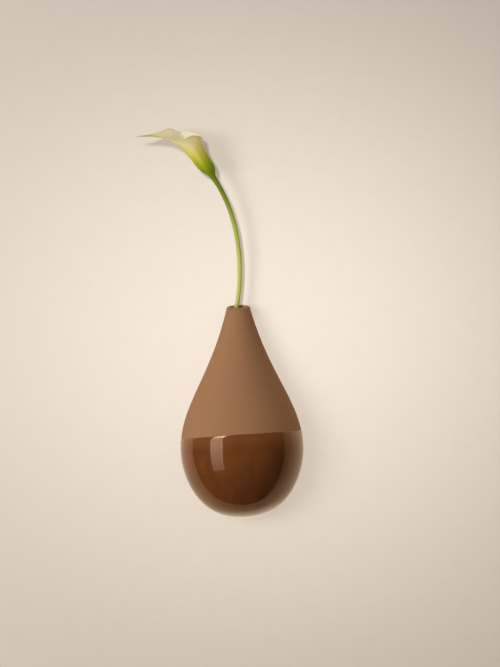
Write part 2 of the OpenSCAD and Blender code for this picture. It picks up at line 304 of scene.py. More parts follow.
for name, strength, span, lights, shaded_by in (
        ("window", lamp_strength, (lamp_from, lamp_to, window_low, window_high),
         all_but_walls, None),
        ("window_past_flower", soft_strength, (soft_from, soft_to, soft_low, soft_high),
         walls, flower_shades),
        ("window_past_vase", broad_strength, (broad_from, broad_to, soft_low, soft_high),
         walls, vase_shades)):
    place, out, width, height = window_at(*span)
    window = lamp(name, "AREA", place, place - out)
    window.data.shape = "RECTANGLE"
    window.data.size, window.data.size_y = width, height
    window.data.energy = strength
    window.light_linking.receiver_collection = lights
    window.light_linking.blocker_collection = shaded_by

key_way = Vector((-sin(key_left) * cos(key_up), -cos(key_left) * cos(key_up), sin(key_up)))
key = lamp("key", "SUN", belly_middle + key_way, belly_middle)
key.data.energy = key_strength
key.data.angle = key_width
key.light_linking.receiver_collection = walls
key.light_linking.blocker_collection = flower_shades


def window_glow(tree):
    """The window as the glaze mirrors it: paler at the top, with faint upright streaks."""
    x, _, z = split(tree, put(tree, "TexCoord").outputs["Generated"])
    lower = fade(tree, z, 0.0, middle_at, sill_bright, middle_bright, "LINEAR")
    bright = calc(tree, "ADD", lower, fade(tree, z, top_from, top_full, 0.0, top_bright))
    across = put(tree, "CombineXYZ", {0: times(tree, x, streak_count)})
    streak = cloud(tree, across, 1.0, 2.0, streak_dim, streak_bright)
    return put(tree, "Emission", {"Color": window_seen, "Strength": times(tree, bright, streak)})


place, out, width, height = window_at(window_from, window_to, window_low, window_high)
half_across = Vector((out.y, -out.x, 0)) * width / 2
half_up = Vector((0, 0, height / 2))
pane = solid("window_pane", [place + i * half_across + j * half_up
                             for i, j in ((-1, -1), (1, -1), (1, 1), (-1, 1))],
             [(0, 1, 2, 3)], [material("window_glow", window_glow)])
only_in_gloss(pane)


def bounce_glow(tree):
    """The wall on the right as the glaze mirrors it: brightest beside the near wall."""
    _, inwards, _ = split(tree, put(tree, "TexCoord").outputs["Generated"])
    strength = fade(tree, inwards, 0.0, 1.0, bounce_dim, 1.0, "LINEAR")
    return put(tree, "Emission", {"Color": bounce_bright, "Strength": strength})


bounce_line = [(bounce_x * sin(a), belly_middle.z - bounce_low * cos(a), bounce_out * sin(a) ** 2)
               for a in np.linspace(0, pi / 2, 13)]
bounce_line.append((bounce_x, near_wall_high, bounce_out))
bounce = solid("bounce_wall", [(x, y, z) for x, z, out in bounce_line for y in (0, -out)],
               [(2 * i, 2 * i + 1, 2 * i + 3, 2 * i + 2) for i in range(len(bounce_line) - 1)],
               [material("bounce_glow", bounce_glow)])
only_in_gloss(bounce)


def room():
    """Even light, dim from the room in front and warmer from behind. It is dark in the glaze
    and pale to look at."""
    made = bpy.data.worlds.new("room")
    made.use_nodes = True
    tree = made.node_tree
    tree.nodes.clear()
    _, y, _ = split(tree, put(tree, "TexCoord").outputs["Generated"])
    path = put(tree, "LightPath").outputs
    colour = blend(tree, fade(tree, y, -room_edge, room_edge), room_fill, wall_glow)
    colour = blend(tree, path["Is Glossy Ray"], colour, room_in_gloss)
    colour = blend(tree, path["Is Camera Ray"], colour, room_looked_at)
    colour = blend(tree, path["Is Transmission Ray"], colour, room_looked_at)
    put(tree, "OutputWorld", {0: put(tree, "Background", {"Color": colour, "Strength": 1.0})})
    return made


scene.world = room()


# The wall plug: grey nylon, moulded in one piece with a split and five gripping grooves,
# pressed into its hole in the wall until the collar stops it.
nylon_grey = (0.52, 0.52, 0.49, 1)
nylon_dark = (0.44, 0.44, 0.42, 1)


def node_group(name, numbers_in, numbers_out):
    """A new node group with its named numbers in, at their usual values, and out."""
    group = bpy.data.node_groups.new(name, "ShaderNodeTree")
    for label, value in numbers_in.items():
        group.interface.new_socket(label, in_out="INPUT",
                                   socket_type="NodeSocketFloat").default_value = value
    for label in numbers_out:
        group.interface.new_socket(label, in_out="OUTPUT", socket_type="NodeSocketFloat")
    return (group, group.nodes.new("NodeGroupInput").outputs,
            group.nodes.new("NodeGroupOutput").inputs)


def fine_grain():
    """Cloudy and fine unevenness, which moulded and plated surfaces share."""
    group, ins, outs = node_group("fine_grain", {"Cloud Scale": 120.0, "Grain Scale": 2500.0},
                                  ("Cloud", "Grain"))
    place = here(group)
    for name in ("Cloud", "Grain"):
        group.links.new(cloud(group, place, ins[name + " Scale"], detail=3.0), outs[name])
    return group


grain_group = fine_grain()


def from_group(tree, group, feeds):
    """Places a node group with its own values, and returns what it puts out."""
    return put(tree, "Group", feeds, node_tree=group).outputs


def moulded_nylon(tree):
    grain = from_group(tree, grain_group, {"Cloud Scale": 180.0, "Grain Scale": 3500.0})
    return put(tree, "BsdfPrincipled", {
        "Base Color": blend(tree, grain["Cloud"], nylon_grey, nylon_dark),
        "Roughness": fade(tree, grain["Grain"], 0, 1, 0.38, 0.52),
        "Subsurface Weight": 0.1, "Subsurface Scale": 1 * mm,
        "Normal": relief(tree, grain["Grain"], 0.25, 0.05 * mm)})


def dress(node, finish):
    """Gives a node of the frame its finish."""
    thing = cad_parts[node]
    thing.data.materials.clear()
    thing.data.materials.append(finish)


dress("wall_plug", material("moulded_nylon", moulded_nylon))


# The wall screw: a zinc-plated pan head with a crossed recess and a coarse rolled thread
# that runs out below the head. It turns into the plug until the keyhole just slides behind
# its head.
play = 0.3 * mm
shank_r, head_r, head_t = 2 * mm, 4.2 * mm, 3 * mm
head_at, screw_deep, screw_point = 6.8 * mm + play, 27 * mm, 4 * mm
thread_pitch, thread_deep, thread_ends = 1.8 * mm, 0.42 * mm, 2 * mm
thread_rows, ridge_steep, ridge_low = 14, 2.4, 0.7
point_blunt, point_r, crown_r, under_head = 0.6 * mm, 0.25 * mm, 0.9 * mm, 0.97
recess_half_l, recess_half_w, recess_deep = 2.5 * mm, 0.55 * mm, 1.6 * mm
recess_over, recess_wide, recess_narrow = 0.5 * mm, 1.08, 0.72
crease = radians(40)
zinc = (0.66, 0.645, 0.6, 1)
zinc_dull = (0.5, 0.5, 0.48, 1)


def rows_to_faces(rows, columns, start=0):
    """Quads between rows of a closed surface that goes round."""
    return [(start + i * columns + j, start + i * columns + (j + 1) % columns,
             start + (i + 1) * columns + (j + 1) % columns, start + (i + 1) * columns + j)
            for i in range(rows - 1) for j in range(columns)]


def capped(rows, first, last):
    """Points and faces of a closed surface: rows of points that go round, with a point at
    each end."""
    columns = len(rows[0])
    points = np.concatenate(rows + [[first], [last]])
    top = (len(rows) - 1) * columns
    foot, tip = len(points) - 2, len(points) - 1
    faces = rows_to_faces(len(rows), columns)
    faces += [(foot, (j + 1) % columns, j) for j in range(columns)]
    faces += [(tip, top + j, top + (j + 1) % columns) for j in range(columns)]
    return points, faces


def cut_by(thing, cutter):
    """Takes the cutter's solid out of a piece's mesh, and the cutter out of the scene."""
    cut = thing.modifiers.new("cut", "BOOLEAN")
    cut.operation, cut.solver, cut.object = "DIFFERENCE", "EXACT", cutter
    bpy.context.view_layer.update()
    shown = thing.evaluated_get(bpy.context.evaluated_depsgraph_get())
    mesh = bpy.data.meshes.new_from_object(shown)
    thing.modifiers.clear()
    thing.data = mesh
    bpy.data.objects.remove(cutter)


def zinc_plate(tree):
    grain = from_group(tree, grain_group, {"Cloud Scale": 350.0, "Grain Scale": 4000.0})
    return put(tree, "BsdfPrincipled", {
        "Base Color": blend(tree, grain["Cloud"], zinc, zinc_dull),
        "Metallic": 1.0, "Roughness": fade(tree, grain["Cloud"], 0, 1, 0.26, 0.44),
        "Normal": relief(tree, grain["Grain"], 0.2, 0.03 * mm)})


def make_screw():
    """Rings from the point, up the thread and over the head, and the cross cut out of it."""
    columns = 40
    turn = np.arange(columns) * 2 * pi / columns

    def ring(r, out_of_wall):
        return np.c_[r * np.cos(turn), np.full(columns, -out_of_wall), r * np.sin(turn)]

    rows = []
    for out_of_wall in np.arange(-screw_deep + point_blunt, head_at, thread_pitch / thread_rows):
        point = min(1.0, (out_of_wall + screw_deep) / screw_point)
        runout = np.clip((head_at - thread_ends - out_of_wall) / thread_ends, 0, 1)
        ridge = np.abs(((out_of_wall / thread_pitch - turn / (2 * pi)) % 1) * 2 - 1)
        depth = thread_deep * runout * (1 - np.clip(ridge_steep * ridge - ridge_low, 0, 1))
        rows.append(ring(np.maximum(shank_r * point - depth, point_r * point), out_of_wall))
    rows.append(ring(head_r * under_head, head_at))
    for a in range(0, 91, 10):
        r = head_r * cos(radians(a)) ** 0.5 if a < 90 else crown_r
        rows.append(ring(r, head_at + head_t / 2 * (1 + sin(radians(a)))))
    points, faces = capped(rows, (0, screw_deep, 0), (0, -head_at - head_t, 0))
    made = solid("pan_head_screw", points, faces, [material("zinc_plate", zinc_plate)], sharp=50)
    face_y = -(head_at + head_t)
    box = [(0, 1, 2, 3), (7, 6, 5, 4), (0, 4, 5, 1), (1, 5, 6, 2), (2, 6, 7, 3), (3, 7, 4, 0)]
    for half_x, half_z in ((recess_half_l, recess_half_w), (recess_half_w, recess_half_l)):
        corners = [(sx * half_x * wide, y, sz * half_z * wide)
                   for y, wide in ((face_y - recess_over, recess_wide),
                                   (face_y + recess_deep, recess_narrow))
                   for sx, sz in ((-1, -1), (1, -1), (1, 1), (-1, 1))]
        cut_by(made, solid("recess", corners, box, []))
    made.data.set_sharp_from_angle(angle=crease)
    return made


screw = make_screw()
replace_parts(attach(screw, "wall_fixing"), "wall_screw")


# The clay body: buff-brown stoneware with fine sand, thrown round, cut flat behind while
# still soft, with the keyhole cut through the flat, and fired bare above the glaze.
body_h, belly_r, belly_at, neck_r = 229.5 * mm, 66.3 * mm, 74 * mm, 12.65 * mm
neck_lean, mouth_slant = radians(14.5), radians(10)
wall_t, back_t, back_set = 4.6 * mm, 5 * mm, 13.5 * mm
mouth_r, rim_r, rim_in_r = 7.5 * mm, 3.2 * mm, 1.6 * mm
rim_soft_r, rim_grit, mouth_sag = 3.035 * mm, 0.07 * mm, 0.955
hang_h, bumper_t, lift = 165 * mm, 1.5 * mm, 9 * mm
foot_flat_r = 2.5 * mm
foot_pull, belly_low, belly_high, neck_pull = 0.745, 0.385, 0.32, 0.527
slant_from, slant_over, mouth_oval = 1.72, 0.26, 0.4
rim_meets = radians(33)
rim_from, rim_in_to, neck_ends = radians(14.5), radians(40), 1.978
rim_eases, rim_eases_over, grit_eases_over = 0.25, 0.33, 0.5
rim_top = rim_r * (1 - sin(rim_meets))
rim_centre_r = neck_r - rim_r * cos(rim_meets)
rim_shift = neck_r * tan(neck_lean) * tan(mouth_slant)
neck_h = (body_h - rim_r + (rim_r - rim_top) * cos(mouth_slant)
          - (rim_centre_r - rim_shift) * sin(mouth_slant))
vase_at = np.array((0, -bumper_t - back_set, -hang_h))
inner_back = back_set - back_t
back_edge, inner_edge = 2.4 * mm, 1 * mm
low_curve = np.array([(foot_flat_r, 0), (foot_pull * belly_r, 0),
                      (belly_r, belly_at * (1 - belly_low)), (belly_r, belly_at)])
neck_up = neck_h - belly_at
high_curve = np.array([(belly_r, belly_at), (belly_r, belly_at + belly_high * neck_up),
                       (neck_r + neck_pull * neck_up * sin(neck_lean),
                        neck_h - neck_pull * neck_up * cos(neck_lean)),
                       (neck_r, neck_h)])
rim_wall = (neck_r - mouth_r) / cos(neck_lean)
around = np.concatenate([np.linspace(-pi, 0, 90, endpoint=False),
                         np.linspace(0, pi, 150, endpoint=False)])
keyhole_inside, keyhole_outside, keyhole_wipe = 1 * mm, 2 * mm, 0.6 * mm
speck_reach, speck_full, speck_felt = 0.42, 0.2, 0.35
throwing_lines, lines_seen, lines_felt = (14.0, 14.0, 620.0), 0.05, 0.1
sandy_from, sandy_full, worn_from, worn_full = 8 * mm, 1 * mm, 10 * mm, 5 * mm
dark_sand, dark_sand_on_rim, pale_sand, pale_sand_on_rim = 0.34, 0.8, 0.22, 0.6
sand_deep = 0.14 * mm
clay_brown = (0.338, 0.162, 0.069, 1)
clay_warm = (0.355, 0.168, 0.072, 1)
clay_dark_speck = (0.16, 0.07, 0.035, 1)
clay_pit = (0.1, 0.05, 0.03, 1)
clay_pale_speck = (0.52, 0.33, 0.2, 1)


def curve_at(curve, t):
    """Places along a curve that four points pull."""
    t = np.asarray(t)[..., None]
    return ((1 - t) ** 3 * curve[0] + 3 * t * (1 - t) ** 2 * curve[1]
            + 3 * t * t * (1 - t) * curve[2] + t ** 3 * curve[3])


def curve_way(curve, t):
    """Which way such a curve runs there."""
    t = np.asarray(t)[..., None]
    way = ((1 - t) ** 2 * (curve[1] - curve[0]) + 2 * t * (1 - t) * (curve[2] - curve[1])
           + t * t * (curve[3] - curve[2]))
    return way / np.linalg.norm(way, axis=-1, keepdims=True)


def outline(t, inset):
    """Radius, height and lean of the clay's outline, from the foot at 0 over the widest
    place at 1 to the neck's end at 2, set inwards."""
    t = np.asarray(t, float)
    low = (t <= 1)[..., None]
    part = np.where(t <= 1, t, t - 1)
    place = np.where(low, curve_at(low_curve, part), curve_at(high_curve, part))
    way = np.where(low, curve_way(low_curve, part), curve_way(high_curve, part))
    r = place[..., 0] - inset * way[..., 1]
    z = place[..., 1] + inset * way[..., 0]
    return r, z, way[..., 0] / np.maximum(np.abs(way[..., 1]), 0.05)


def wall_at(t):
    """The clay's thickness: even up to the widest place, then changing to the rim's."""
    return wall_t + (rim_wall - wall_t) * np.clip(np.asarray(t) - 1, 0, 1)


def lower_of(value, limit, edge):
    """The lower of a value and a limit, rounded where they meet."""
    share = np.maximum(edge - np.abs(value - limit), 0) / edge
    return np.minimum(value, limit) - share * share * edge / 4


def clay_ring(t, inset, back, edge):
    """One ring of the thrown form, flat behind. It slants with the mouth near the top."""
    r, z, lean = outline(t, inset)
    slant = tan(mouth_slant) * np.clip((np.asarray(t) - slant_from) / slant_over, 0, 1) ** 2
    rise = slant * r * np.sin(around)
    r = r + lean * rise
    y = lower_of(r * np.sin(around), back, edge)
    return np.c_[r * np.cos(around), y, z + rise] + vase_at


def mouth_ring(r, up, shift, oval):
    """A ring in the slanted frame of the mouth, drawn out by a share to meet the neck."""
    stretch = 1 + tan(neck_lean) * tan(mouth_slant) * oval * np.sin(around) ** 2
    x = r * np.cos(around)
    y = shift + r * stretch * np.sin(around)
    return np.c_[x, y * cos(mouth_slant) - up * sin(mouth_slant),
                 neck_h + y * sin(mouth_slant) + up * cos(mouth_slant)] + vase_at


def clay_rows():
    """The clay's rings: up the outside, over the gritty rim and down the inside."""
    rows = [clay_ring(t, 0, back_set, back_edge)
            for t in np.concatenate([np.linspace(0, 1, 40, endpoint=False),
                                     np.linspace(1, neck_ends, 58)])]
    chips = np.random.default_rng(4)
    for a in np.linspace(rim_from, pi / 2, 9):
        eased, gritty = (min(1, (a - rim_eases) / over) for over in (rim_eases_over,
                                                                     grit_eases_over))
        grown = (rim_soft_r + (rim_r - rim_soft_r) * eased
                 + chips.normal(0, rim_grit, len(around)) * gritty)
        rows.append(mouth_ring(rim_centre_r + grown * cos(a),
                               rim_top - rim_r + grown * sin(a), -rim_shift, mouth_oval))
    edge_r = mouth_r * mouth_sag + rim_in_r
    for a in np.linspace(pi / 2, rim_in_to, 6):
        share = (a - rim_in_to) / (pi / 2 - rim_in_to)
        grown = rim_in_r + chips.normal(0, rim_grit, len(around)) * share
        rows.append(mouth_ring(edge_r - grown * cos(a), rim_top - rim_in_r + grown * sin(a),
                               -rim_shift / 2 * share, 0))
    rows += [clay_ring(t, wall_at(t), inner_back, inner_edge)
             for t in np.concatenate([np.linspace(2, 1, 34, endpoint=False),
                                      np.linspace(1, 0, 22)])]
    return rows


def keyhole_cutter(margin, flare):
    """The keyhole's solid: a slot round the shank that widens to a hole for the head, with
    its outer edge wiped softly wider."""
    points = []
    sections = ((-keyhole_inside, 0), (back_t - flare, 0), (back_t, flare),
                (back_t + keyhole_outside, flare))
    for depth, wider in sections:
        slot_r = shank_r + play + margin + wider
        entry_r = head_r + 2 * play + margin + wider
        meet = asin(slot_r / entry_r)
        loop = [(slot_r * cos(a), slot_r * sin(a)) for a in np.linspace(0, pi, 17)]
        loop += [(entry_r * cos(a), entry_r * sin(a) - lift)
                 for a in np.linspace(pi / 2 + meet, 2.5 * pi - meet, 41)]
        points += [(x, inner_back + depth + vase_at[1], z) for x, z in loop]
    count = len(loop)
    faces = rows_to_faces(len(sections), count)
    faces += [tuple(reversed(range(count))),
              tuple(range((len(sections) - 1) * count, len(sections) * count))]
    cutter = solid("keyhole", points, faces, [])
    outwards = bmesh.new()
    outwards.from_mesh(cutter.data)
    bmesh.ops.recalc_face_normals(outwards, faces=outwards.faces)
    outwards.to_mesh(cutter.data)
    outwards.free()
    return cutter


def sand_in_clay():
    """Sand grains in clay, seen as dark and pale specks and felt as fine grit."""
    group, ins, outs = node_group("sand_in_clay", {"Grain Scale": 900.0, "Share": 0.3},
                                  ("Dark", "Pale", "Height", "Cloud"))
    place = here(group)
    cells = put(group, "TexVoronoi", {"Vector": place, "Scale": ins["Grain Scale"]}).outputs
    pick = put(group, "SeparateColor", {0: cells["Color"]}).outputs
    speck = fade(group, cells["Distance"], speck_reach, speck_full)
    edge = calc(group, "SUBTRACT", 1.0, ins["Share"])
    for name, part in (("Dark", "Red"), ("Pale", "Green")):
        some = calc(group, "GREATER_THAN", pick[part], edge)
        group.links.new(times(group, some, speck), outs[name])
    grit = noise(group, place, ins["Grain Scale"], detail=4.0, roughness=0.7)
    group.links.new(calc(group, "MULTIPLY_ADD", speck, speck_felt, grit), outs["Height"])
    group.links.new(cloud(group, place, scale=26.0, detail=4.0), outs["Cloud"])
    return group


sand_group = sand_in_clay()


def bare_clay(tree):
    """Fine sand and faint throwing lines, with coarse worn grit at the rim."""
    sand = from_group(tree, sand_group, {"Grain Scale": 950.0, "Share": 0.34})
    worn = from_group(tree, sand_group, {"Grain Scale": 430.0, "Share": 0.8})
    place = here(tree)
    below_top = calc(tree, "SUBTRACT", body_h - hang_h, split(tree, place)[2])
    turned = put(tree, "Mapping", {"Vector": place, "Scale": throwing_lines})
    line = cloud(tree, turned, scale=1.0, detail=3.0, roughness=0.65)
    rim_sandy = fade(tree, below_top, sandy_from, sandy_full)
    rim_worn = fade(tree, below_top, worn_from, worn_full)
    dark = times(tree, sand["Dark"], fade(tree, rim_sandy, 0, 1, dark_sand, dark_sand_on_rim))
    pale = times(tree, sand["Pale"], fade(tree, rim_sandy, 0, 1, pale_sand, pale_sand_on_rim))
    colour = blend(tree, sand["Cloud"], clay_brown, clay_warm)
    for share, shade in ((times(tree, line, lines_seen), clay_dark_speck),
                         (dark, clay_dark_speck), (pale, clay_pale_speck),
                         (times(tree, worn["Dark"], rim_worn), clay_pit),
                         (times(tree, worn["Pale"], rim_worn), clay_pale_speck)):
        colour = blend(tree, share, colour, shade)
    felt = calc(tree, "MULTIPLY_ADD", line, lines_felt, sand["Height"])
    return put(tree, "BsdfPrincipled", {
        "Base Color": colour, "Roughness": fade(tree, sand["Cloud"], 0, 1, 0.84, 0.95),
        "Specular IOR Level": 0.25, "Normal": relief(tree, felt, 0.5, sand_deep)})


clay_body = solid("clay_body", *capped(clay_rows(), vase_at, vase_at + (0, 0, wall_t)),
                  [material("bare_clay", bare_clay)])
cut_by(clay_body, keyhole_cutter(0, keyhole_wipe))
clay_body.data.set_sharp_from_angle(angle=crease)
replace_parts(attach(clay_body, "vase"), "vase_body")
vase_shades.objects.link(clay_body)


# The dipped glaze: amber-brown and glossy, thinner and redder at its edge, darker low down
# where it ran down and pooled, and darker towards the right as painted shade. It stops in a
# soft bead at the dip line, and short of the flat back.
dip_h, dip_t, dip_bare = 89 * mm, 0.45 * mm, 2 * mm
dip_rise, dip_front_rise = radians(2.6), radians(3.5)
dip_shake = ((3, 0.16, 0.8), (8, 0.1, 2.1), (19, 0.06, 0.4), (37, 0.04, 0))
glaze_bite, glaze_edge = 0.3 * mm, 1 * mm
dip_edge = [(6.0, 1.0), (5.0, 1.12), (4.0, 1.25), (3.0, 1.22), (2.2, 1.13), (1.5, 0.98),
            (0.9, 0.78), (0.45, 0.55), (0.15, 0.32), (0.0, 0.1), (0.0, -0.5)]
# How steeply the painted shade darkens the glaze towards the right.
painted_shade_tilt = 0.9
thin_over, thin_most, pool_and_shade_over, pool_and_shade_most = 14 * mm, 0.45, 88 * mm, 0.74
glaze_runs, run_low, run_high = (60.0, 60.0, 9.0), -0.12, 0.18
cloudy_share, sandy_share = 0.4, 0.3
glaze_gloss, glaze_wave = (1.0, 0.7, 0.45, 1), 0.5 * mm
glaze_thin = (0.25, 0.09, 0.03, 1)
glaze_amber = (0.174, 0.0525, 0.0125, 1)
glaze_brown = (0.062, 0.0195, 0.0075, 1)
glaze_deep = (0.05, 0.015, 0.006, 1)


def dip_line():
    """Height of the dip line at each place round the vase, a little unsteady, and the place
    on the outline at a height."""
    table_t = np.linspace(1, 1.5, 200)
    table_r, table_z, _ = outline(table_t, 0)
    line = np.full(len(around), dip_h)
    for _ in range(4):
        r = np.interp(line, table_z, table_r)
        line = (dip_h + r * np.cos(around) * tan(dip_rise)
                - r * np.sin(around) * tan(dip_front_rise) / cos(dip_rise))
    shake = sum(high * np.sin(waves * around + at) for waves, high, at in dip_shake)
    return line + shake * mm, lambda z: np.interp(z, table_z, table_t)


def glaze_rows():
    """The coat's rings: up its outside to the bead, and down just under the clay's skin."""
    line, t_at = dip_line()
    back = back_set - dip_bare
    rows = [clay_ring(s * t_at(line - dip_edge[0][0] * mm), -dip_t, back, glaze_edge)
            for s in np.linspace(0, 1, 84, endpoint=False)]
    rows += [clay_ring(t_at(line - below * mm), -dip_t * thick, back, glaze_edge)
             for below, thick in dip_edge]
    rows += [clay_ring(s * t_at(line), glaze_bite, back - dip_t - glaze_bite, glaze_edge)
             for s in np.linspace(0.995, 0, 30)]
    return rows


def dark_glaze(tree):
    """Pools lie low, in runs, over sand that shows through. The glaze also darkens towards the
    right, as painted shade.
    """
    sand = from_group(tree, sand_group, {"Grain Scale": 520.0, "Share": 0.16})
    place = here(tree)
    x, _, z = split(tree, place)
    run = put(tree, "Mapping", {"Vector": place, "Scale": glaze_runs})
    top = dip_h - hang_h
    # Real pooling low down, and painted shade towards the right.
    low_and_right = calc(tree, "MULTIPLY_ADD", x, -painted_shade_tilt, z)
    pooling_and_shade = fade(tree, low_and_right, top - thin_over, top - pool_and_shade_over, 0.0, pool_and_shade_most)
    pooling_and_shade = calc(tree, "ADD", pooling_and_shade, cloud(tree, run, 1.0, 3.0, run_low, run_high))
    colour = blend(tree, pooling_and_shade, glaze_amber, glaze_brown)
    colour = blend(tree, fade(tree, sand["Cloud"], 0, 1, 0, cloudy_share), colour, glaze_brown)
    colour = blend(tree, times(tree, sand["Dark"], sandy_share), colour, glaze_deep)
    slope = calc(tree, "MULTIPLY_ADD", x, -tan(dip_rise), z)
    thin = fade(tree, slope, top - thin_over, top, 0.0, thin_most)
    return put(tree, "BsdfPrincipled", {
        "Base Color": blend(tree, thin, colour, glaze_thin), "Roughness": 0.03, "IOR": 1.6,
        "Specular Tint": glaze_gloss,
        "Normal": relief(tree, noise(tree, place, scale=70.0, detail=1.0), 0.1, glaze_wave)})


dip = solid("dipped_glaze", *capped(glaze_rows(), vase_at - (0, 0, dip_t),
                                    vase_at + (0, 0, glaze_bite)),
            [material("dark_glaze", dark_glaze)])
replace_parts(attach(dip, "vase"), "dip_glaze")
vase_shades.objects.link(dip)


# The inner glaze: a thin satin coat poured in and out again, which keeps the water from
# the clay. It starts a little below the mouth and stays clear of the keyhole.
liner_t, liner_drop, liner_bite = 0.3 * mm, 10 * mm, 0.05 * mm
liner_clear, liner_wipe = 1 * mm, 0.1 * mm
inner_pale = (0.47, 0.3, 0.18, 1)
inner_brown = (0.33, 0.19, 0.1, 1)


def liner_rows():
    """The coat's rings: up its back, which bites into the clay, and down its face."""
    table_t = np.linspace(1.7, 2, 100)
    _, table_z, _ = outline(table_t, wall_at(table_t))
    end = np.interp(body_h - liner_drop, table_z, table_t)
    outer = [clay_ring(s * end, wall_at(s * end) - liner_bite, inner_back + liner_bite, inner_edge)
             for s in np.linspace(0, 1, 44)]
    inner = [clay_ring(s * end, wall_at(s * end) + liner_t, inner_back - liner_t, inner_edge)
             for s in np.linspace(0.999, 0, 44)]
    return outer + inner


def inner_glaze(tree):
    """Clay shows through it, with its sand."""
    sand = from_group(tree, sand_group, {"Grain Scale": 700.0, "Share": 0.2})
    colour = blend(tree, sand["Cloud"], inner_pale, inner_brown)
    return put(tree, "BsdfPrincipled", {
        "Base Color": blend(tree, times(tree, sand["Dark"], 0.4), colour, clay_dark_speck),
        "Roughness": fade(tree, sand["Cloud"], 0, 1, 0.2, 0.34),
        "Normal": relief(tree, sand["Height"], 0.2, 0.1 * mm)})


liner = solid("inner_glaze_coat", *capped(liner_rows(), vase_at + (0, 0, wall_t - liner_bite),
                                          vase_at + (0, 0, wall_t + liner_t)),
              [material("inner_glaze", inner_glaze)])
cut_by(liner, keyhole_cutter(liner_clear, liner_wipe))
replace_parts(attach(liner, "vase"), "liner_glaze")


# The bumpers: two clear self-adhesive cushions low on the flat back, which keep the clay
# off the paint.
bumper_clear = (0.72, 0.76, 0.78, 1)


def clear_cushion(tree):
    grain = from_group(tree, grain_group, {"Cloud Scale": 400.0, "Grain Scale": 6000.0})
    return put(tree, "BsdfPrincipled", {
        "Base Color": blend(tree, times(tree, grain["Cloud"], 0.2), bumper_clear, nylon_dark),
        "Roughness": fade(tree, grain["Grain"], 0, 1, 0.12, 0.24),
        "IOR": 1.45, "Transmission Weight": 0.4,
        "Normal": relief(tree, grain["Grain"], 0.1, 0.02 * mm)})


cushion = material("clear_cushion", clear_cushion)
for side in ("left", "right"):
    dress("bumper_" + side, cushion)


# The stem: one fresh calla stem, smooth and slightly ribbed, cut on the slant at the foot.
# It leans on the back of the mouth's bore and bends twice to the left under its bloom.
stem_r, stem_taper, taper_speed = 2.6 * mm, 0.05 * mm, 5
stem_lean, bend_forward = radians(12), radians(7)
stem_left, bend_r, crook_r = 2.2 * mm, 216 * mm, 158 * mm
bend_turn, crook_turn = radians(23.5), radians(21)
foot_swell, foot_swell_l, foot_gap = 0.7 * mm, 13 * mm, 0.5 * mm
stem_ends = ((0.6 * mm, 1.9 * mm), (1.6 * mm, 1.45 * mm))
stem_tip = 2 * mm
stem_columns = 36
stem_turn = np.arange(stem_columns) * 2 * pi / stem_columns
rib_count, rib_high, rib_front = 6, 0.012, radians(98)
stem_back = sqrt((mouth_r - stem_r / cos(stem_lean) - play) ** 2
                 - (stem_left + 2 * rim_top * tan(stem_lean)) ** 2)
stem_cross = np.array((-stem_left, stem_back, neck_h)) + vase_at
stem_way = np.array((sin(stem_lean), 0, cos(stem_lean)))
stem_side = (cos(bend_forward) * np.array((-cos(stem_lean), 0, sin(stem_lean)))
             + sin(bend_forward) * np.array((0, -1, 0)))
stem_low_green = (0.45, 0.5, 0.085, 1)
stem_high_green = (0.245, 0.31, 0.004, 1)
stem_top_green = (0.18, 0.24, 0.001, 1)
stem_pale_and_highlight = (0.78, 0.77, 0.22, 1)
green_from, green_full, top_green_from, top_green_full = 0.085, 0.195, 0.15, 0.198
# The ribs' paleness: real ribbing, and a painted highlight on the rib that faces the viewer.
pale_rib_and_highlight, high_rib_and_highlight_pale, fibre_pale = 0.75, 0.35, 0.12
fibres_round, fibres_up, fibre_deep = 4.0, 60.0, 0.05 * mm


def onward(place, way, side, radius, turn):
    """A frame carried along a round bend towards its side."""
    c, s = cos(turn), sin(turn)
    return place + radius * ((1 - c) * side + s * way), c * way + s * side, c * side - s * way


def stem_foot():
    """Where the straight stem meets the hollow's floor, and the way that the cut faces."""
    t = np.linspace(0, 1, 4000)
    r, z, _ = outline(t, wall_at(t) + liner_t + foot_gap)
    floor_x = -np.sqrt(np.maximum(r * r - stem_back ** 2, 0))
    stem_x = -stem_left - (neck_h - z) * tan(stem_lean)
    i = int(np.argmax(stem_x >= floor_x + (r < stem_back)))
    way = curve_way(low_curve, t[i])
    foot = np.array((floor_x[i], stem_back, z[i]))
    up = np.array((-way[1] * foot[0] / r[i], -way[1] * foot[1] / r[i], way[0]))
    return foot + vase_at, up / np.linalg.norm(up)


def stem_ring(place, way, side, radius):
    """A ring square to the stem, with its ribs."""
    ribs = radius * (1 + rib_high * (np.cos(rib_count * (stem_turn - rib_front)) - 1))
    return (place + np.outer(ribs * np.cos(stem_turn), side)
            + np.outer(ribs * np.sin(stem_turn), np.cross(way, side)))


def lay_grid(made, name, turn, share):
    """Maps a wrapped surface by its points' turn round it and share along it."""
    grid = made.data.uv_layers.new(name=name)
    for face in made.data.polygons:
        corners = [made.data.loops[k].vertex_index for k in face.loop_indices]
        wraps = max(turn[v] for v in corners) - min(turn[v] for v in corners) > 0.5
        for k, v in zip(face.loop_indices, corners):
            grid.data[k].uv = (turn[v] + (1.0 if wraps and turn[v] < 0.5 else 0.0), share[v])


